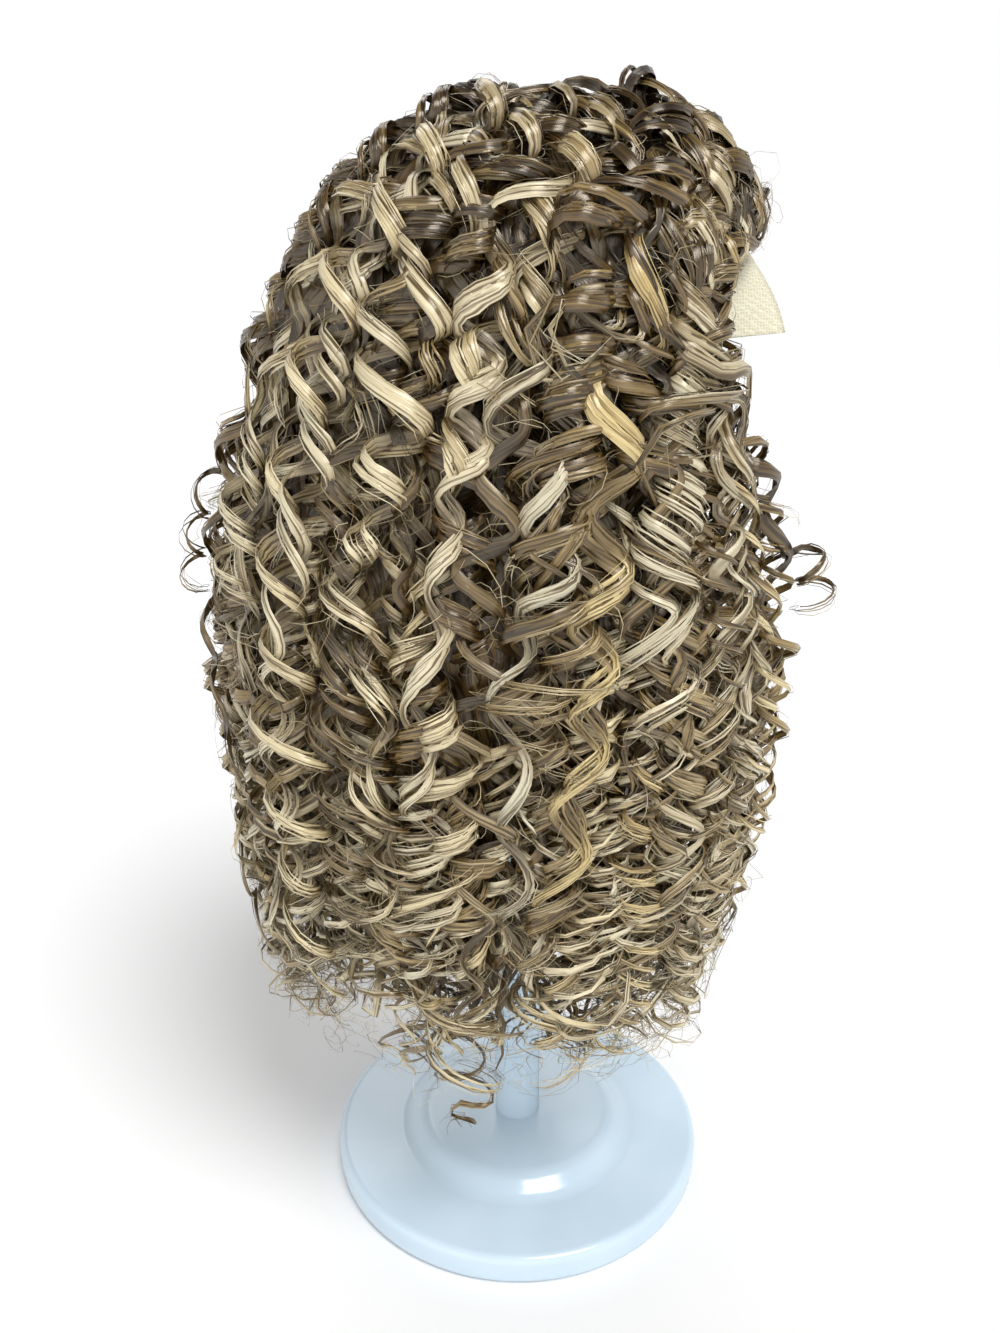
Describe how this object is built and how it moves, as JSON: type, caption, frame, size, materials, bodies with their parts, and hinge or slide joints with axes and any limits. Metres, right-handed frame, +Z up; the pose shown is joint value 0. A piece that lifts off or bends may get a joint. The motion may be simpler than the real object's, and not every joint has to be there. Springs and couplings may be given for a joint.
{
  "type": "curly lace front wig on a wig stand",
  "caption": "Long curly wig with a net cap, a sheer lace front and loose highlighted ringlets, resting on a round-based stand with a slim post.",
  "frame": {"origin": "middle of the stand's underside, on the surface that it stands on", "axes": "+Z up along the post; the face opening looks along -Y; the wearer's right side is -X"},
  "size_m": [0.2368, 0.2332, 0.4998],
  "materials": {
    "stand_plastic": "glossy moulded white",
    "cap_net": "knitted dark brown net",
    "lace": "fine cream lace net",
    "hair_fibre": "soft sheen, brown with blond highlights"
  },
  "bodies": {
    "root": {"stand_base": "stand_plastic", "stand_post": "stand_plastic", "wig_cap": "cap_net", "lace_front": "lace", "hair_right": "hair_fibre", "hair_left": "hair_fibre", "hair_back": "hair_fibre"}
  },
  "joints": []
}
